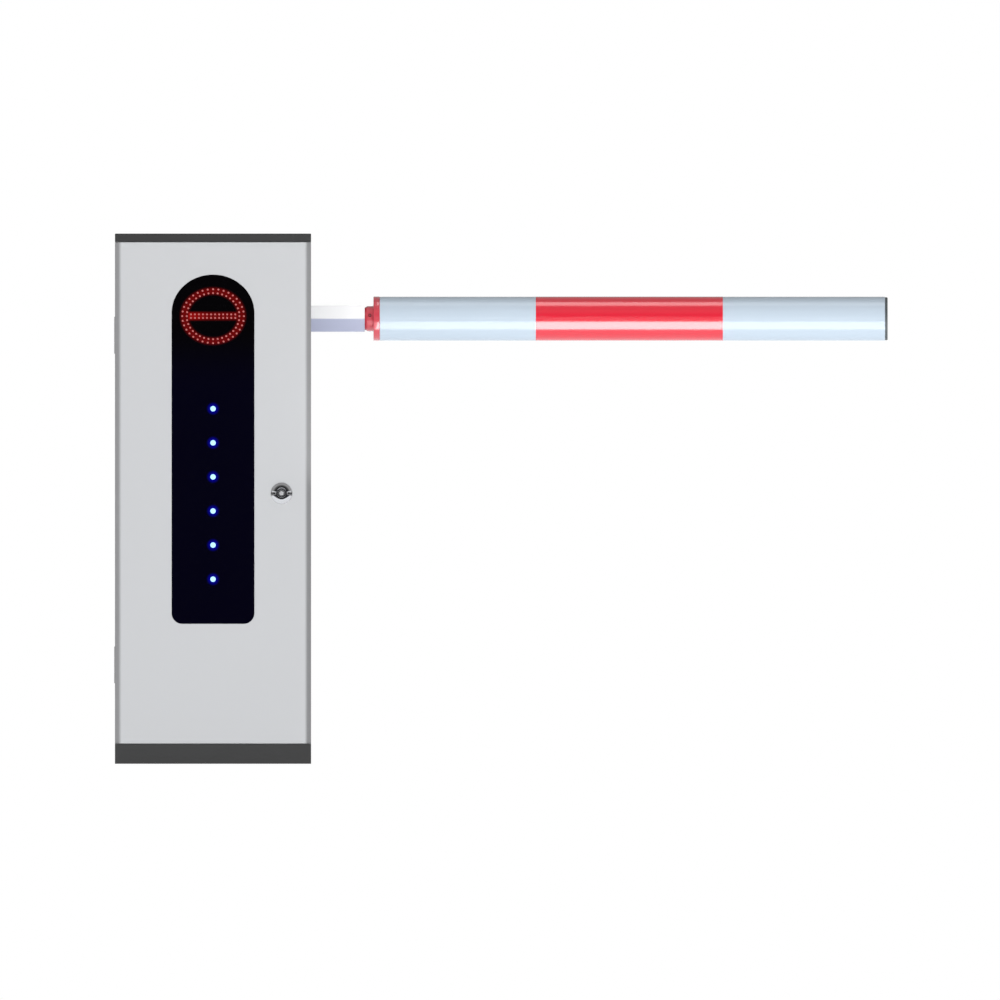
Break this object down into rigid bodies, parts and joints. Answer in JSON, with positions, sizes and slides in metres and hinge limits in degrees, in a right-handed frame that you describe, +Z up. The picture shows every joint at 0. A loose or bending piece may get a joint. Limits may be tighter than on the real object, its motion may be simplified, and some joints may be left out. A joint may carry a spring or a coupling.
{
  "type": "parking barrier gate",
  "caption": "Parking barrier gate: light grey cabinet with an arched lit display in its door, and a round white and red boom raised by a geared crank drive.",
  "frame": {"origin": "centre of the anchor bolt pattern, on the floor under the cabinet", "axes": "+X along the lowered boom, +Y to the rear of the cabinet, +Z up"},
  "size_m": [1.4076, 0.4202, 0.965],
  "materials": {
    "charcoal_paint": "satin",
    "cabinet_paint": "satin powder coat",
    "display_black": "gloss",
    "red_lens": "gloss",
    "blue_lens": "gloss",
    "circuit_board": "matte",
    "chrome": "polished",
    "dark_steel": "satin",
    "steel": "brushed",
    "zinc": "satin",
    "gearbox_grey": "satin",
    "motor_grey": "painted",
    "boom_white": "gloss powder coat",
    "coupling_red": "gloss powder coat",
    "film_red": "gloss",
    "black_plastic": "matte",
    "grey_plastic": "matte",
    "rubber": "matte",
    "bronze": "machined"
  },
  "bodies": {
    "cabinet": {"base_frame": "charcoal_paint", "top_cap": "charcoal_paint", "cabinet_shell": "cabinet_paint", "cabinet_screws": "zinc", "door_seal": "rubber", "hinge_fixed_leaves": "zinc", "mechanism_plate": "steel", "frame_brackets": "steel", "bearing_housings": "motor_grey", "bearing_outer_rings": "steel", "mechanism_bolts": "zinc", "shaft_seal": "rubber", "spring_anchor": "zinc", "balance_springs": "steel", "buffers": "rubber", "buffer_posts": "dark_steel", "gearbox_housing": "gearbox_grey", "gearbox_cover": "gearbox_grey", "gearbox_bushes": "bronze", "motor_body": "motor_grey", "motor_end_cap": "motor_grey", "control_box": "grey_plastic", "control_lid": "grey_plastic", "control_board": "circuit_board", "din_rail": "zinc", "circuit_breaker": "grey_plastic", "power_supply": "zinc", "terminal_strip": "grey_plastic"},
    "door": {"door_panel": "cabinet_paint", "display_panel": "display_black", "display_mounts": "zinc", "red_leds": "red_lens", "blue_leds": "blue_lens", "led_board": "circuit_board", "lock_housing": "chrome", "hinge_moving_leaves": "zinc"},
    "lock": {"lock_core": "dark_steel", "lock_post": "steel", "lock_cam": "zinc"},
    "boom_arm": {"main_shaft": "steel", "bearing_inner_rings": "steel", "rocker_lever": "steel", "arm_hub": "dark_steel", "arm_bracket": "gearbox_grey", "arm_bracket_bolts": "zinc", "boom_stub": "boom_white", "boom_spigot": "steel", "boom_coupling": "coupling_red", "boom_tube": "boom_white", "red_band": "film_red", "boom_end_caps": "black_plastic"},
    "drive_crank": {"worm_wheel": "bronze", "output_shaft": "steel", "crank_lever": "steel"},
    "connecting_rod": {"rod_ends": "zinc", "rod_link": "steel"},
    "worm": {"worm_shaft": "steel", "hand_wheel": "black_plastic", "motor_rotor": "steel"},
    "breaker_switch": {"breaker_toggle": "black_plastic"}
  },
  "joints": [
    {"name": "boom_swing", "type": "hinge", "parent": "cabinet", "child": "boom_arm", "pos_m": [0, 0, 0.81], "axis": [0, -1, 0], "range_deg": [0, 90], "deforming": ["balance_springs"]},
    {"name": "crank_turn", "type": "hinge", "parent": "cabinet", "child": "drive_crank", "pos_m": [0, 0, 0.52], "axis": [0, -1, 0], "range_deg": [0, 90]},
    {"name": "rod_pivot", "type": "hinge", "parent": "drive_crank", "child": "connecting_rod", "pos_m": [0.04243, -0.073, 0.47757], "axis": [0, -1, 0], "range_deg": [-90, 0]},
    {"name": "worm_spin", "type": "hinge", "parent": "cabinet", "child": "worm", "pos_m": [0.056, -0.012, 0.52], "axis": [0, 0, -1], "range_deg": [0, 2880]},
    {"name": "door_hinge", "type": "hinge", "parent": "cabinet", "child": "door", "pos_m": [-0.177, -0.1225, 0.48], "axis": [0, 0, -1], "range_deg": [0, 110]},
    {"name": "lock_turn", "type": "hinge", "parent": "door", "child": "lock", "pos_m": [0.1247, -0.15, 0.4925], "axis": [0, -1, 0], "range_deg": [0, 90]},
    {"name": "breaker_rock", "type": "hinge", "parent": "cabinet", "child": "breaker_switch", "pos_m": [-0.112, -0.0505, 0.195], "axis": [-1, 0, 0], "range_deg": [0, 40]}
  ],
  "couplings": [
    {"joint": "crank_turn", "follows": "boom_swing", "ratio": 1},
    {"joint": "rod_pivot", "follows": "boom_swing", "ratio": -1},
    {"joint": "worm_spin", "follows": "boom_swing", "ratio": 32}
  ]
}
